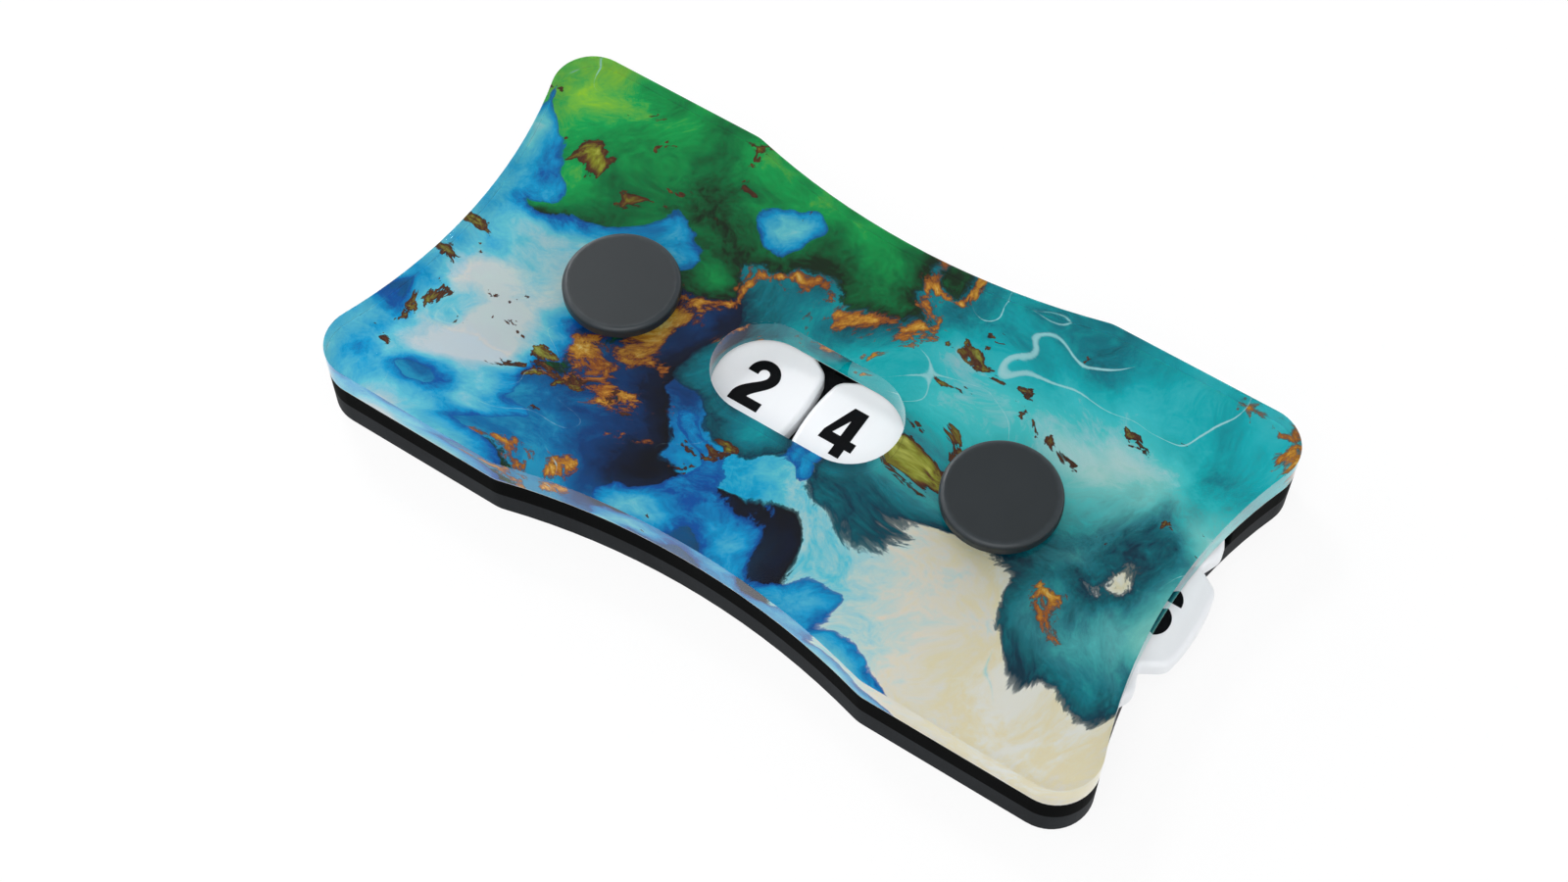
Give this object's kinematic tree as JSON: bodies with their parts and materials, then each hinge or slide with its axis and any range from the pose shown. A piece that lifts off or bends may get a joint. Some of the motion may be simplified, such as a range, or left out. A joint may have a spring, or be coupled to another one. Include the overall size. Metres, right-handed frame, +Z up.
{
  "type": "life counter",
  "caption": "Hand-held life counter: lobed number wheels turn between a printed clear cover and dark plates, and show tens and units in a window.",
  "frame": {"origin": "centre of the counter on the flat underside that it rests on", "axes": "+X along the length from the tens wheel to the units wheel, +Y across towards the top of the upright numerals, +Z up out of the printed face"},
  "size_m": [0.088, 0.047, 0.0105],
  "materials": {
    "charcoal_plastic": "satin charcoal acrylic",
    "black_plastic": "black acrylic with sawn and polished edges",
    "bond_film": "thin black double-sided film",
    "clear_acrylic": "clear polished acrylic",
    "white_ink": "white ink that backs the print",
    "colour_ink": "full-colour print on the cover's underside, abstract washes of colour, glossy through the cover",
    "magnet_plating": "nickel-plated magnet",
    "screw_steel": "blackened steel screw",
    "axle_steel": "ground steel",
    "washer_plastic": "slippery natural plastic",
    "ring_rubber": "thin soft rubber",
    "white_plastic": "glossy white plastic",
    "numeral_ink": "near-black inlaid numeral",
    "bush_bronze": "sintered bronze",
    "knob_plastic": "satin dark grey plastic"
  },
  "bodies": {
    "case": {"bottom_plate": "charcoal_plastic", "rear_rail": "black_plastic", "front_rail": "black_plastic", "rear_bond_film": "bond_film", "front_bond_film": "bond_film", "cover_plate": "clear_acrylic", "white_base_ink": "white_ink", "colour_print": "colour_ink", "index_magnets": "magnet_plating", "back_screws": "screw_steel", "tens_axle": "axle_steel", "tens_thrust_washer": "washer_plastic", "tens_friction_ring": "ring_rubber", "units_axle": "axle_steel", "units_thrust_washer": "washer_plastic", "units_friction_ring": "ring_rubber"},
    "tens_dial": {"tens_wheel": "white_plastic", "tens_numerals": "numeral_ink", "tens_wheel_magnets": "magnet_plating", "tens_bush": "bush_bronze", "tens_knob": "knob_plastic"},
    "units_dial": {"units_wheel": "white_plastic", "units_numerals": "numeral_ink", "units_wheel_magnets": "magnet_plating", "units_bush": "bush_bronze", "units_knob": "knob_plastic"}
  },
  "joints": [
    {"name": "tens_turn", "type": "hinge", "parent": "case", "child": "tens_dial", "pos_m": [-0.0221, 0, 0.003], "axis": [0, 0, 1], "continuous": true},
    {"name": "units_turn", "type": "hinge", "parent": "case", "child": "units_dial", "pos_m": [0.0221, 0, 0.003], "axis": [0, 0, 1], "continuous": true}
  ]
}
